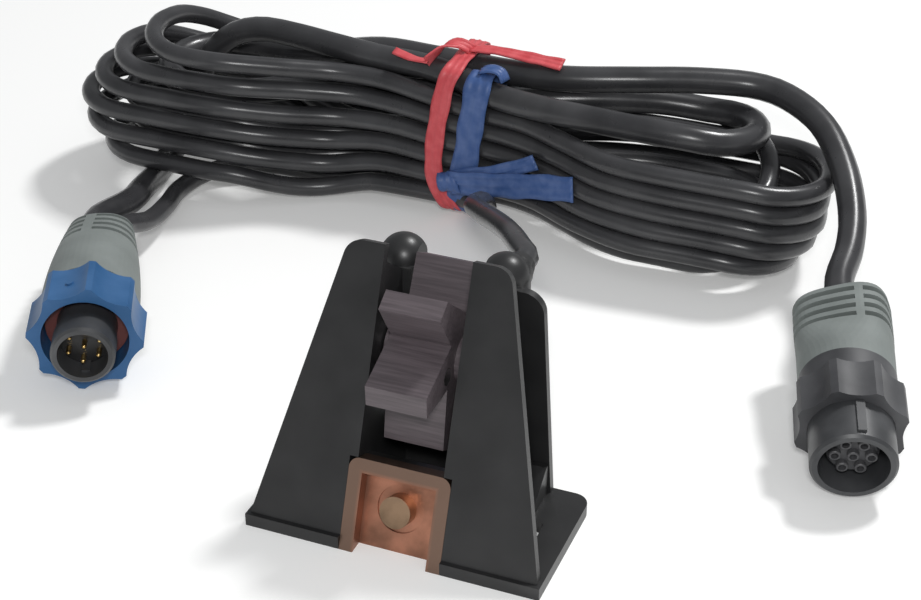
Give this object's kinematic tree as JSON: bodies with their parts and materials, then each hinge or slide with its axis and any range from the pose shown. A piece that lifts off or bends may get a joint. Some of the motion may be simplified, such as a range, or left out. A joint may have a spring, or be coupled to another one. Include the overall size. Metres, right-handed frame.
{
  "type": "paddle wheel speed sensor",
  "caption": "Transom paddle wheel speed and water temperature sensor: slotted leaning bracket, copper plate, tied cable hank, plug with locking collar and socket.",
  "frame": {"origin": "middle of the transom plate's flat underside, the face that is screwed to the transom", "axes": "+Z away from the transom, +X across the plate, +Y from the leaning front plate to the columns"},
  "size_m": [0.2139, 0.1555, 0.0517],
  "materials": {
    "black_plastic": "semi-gloss black moulded plastic",
    "wheel_plastic": "satin dark grey-brown plastic",
    "axle_steel": "plain stainless steel",
    "magnet_steel": "plain sintered magnet",
    "copper": "dull tarnished copper",
    "barrel_black": "satin black plastic",
    "grip_black": "satin black plastic",
    "boot_grey": "matt grey moulded rubber",
    "collar_blue": "satin blue plastic",
    "seal_red": "matt red-brown rubber",
    "brass": "bright brass",
    "cable_jacket": "satin black cable jacket",
    "tie_red": "satin red plastic ribbon",
    "tie_blue": "satin dark blue plastic ribbon"
  },
  "bodies": {
    "sensor": {"housing": "black_plastic", "wheel_axle": "axle_steel", "temperature_plate": "copper", "temperature_stud": "copper", "thermistor": "black_plastic", "hall_sensor": "black_plastic", "sensor_potting": "black_plastic", "cable_gland": "black_plastic", "plug_boot": "boot_grey", "plug_barrel": "barrel_black", "plug_insert": "barrel_black", "plug_pins": "brass", "plug_seal": "seal_red", "socket_boot": "boot_grey", "socket_barrel": "barrel_black", "socket_collar": "grip_black", "socket_insert": "barrel_black", "socket_contacts": "brass", "sensor_lead": "cable_jacket", "sensor_tail": "cable_jacket", "link_tail": "cable_jacket", "link_lead": "cable_jacket", "cable_hank": "cable_jacket", "red_tie": "tie_red", "blue_tie": "tie_blue"},
    "wheel": {"paddle_wheel": "wheel_plastic", "wheel_magnets": "magnet_steel"},
    "collar": {"plug_collar": "collar_blue"}
  },
  "joints": [
    {"name": "wheel_spin", "type": "hinge", "parent": "sensor", "child": "wheel", "pos_m": [0, 0.0073, 0.0312], "axis": [1, 0, 0], "continuous": true},
    {"name": "collar_turn", "type": "hinge", "parent": "sensor", "child": "collar", "pos_m": [-0.07996, 0.01836, 0.0118], "axis": [0.4617, -0.887, 0], "range_deg": [0, 90]}
  ]
}
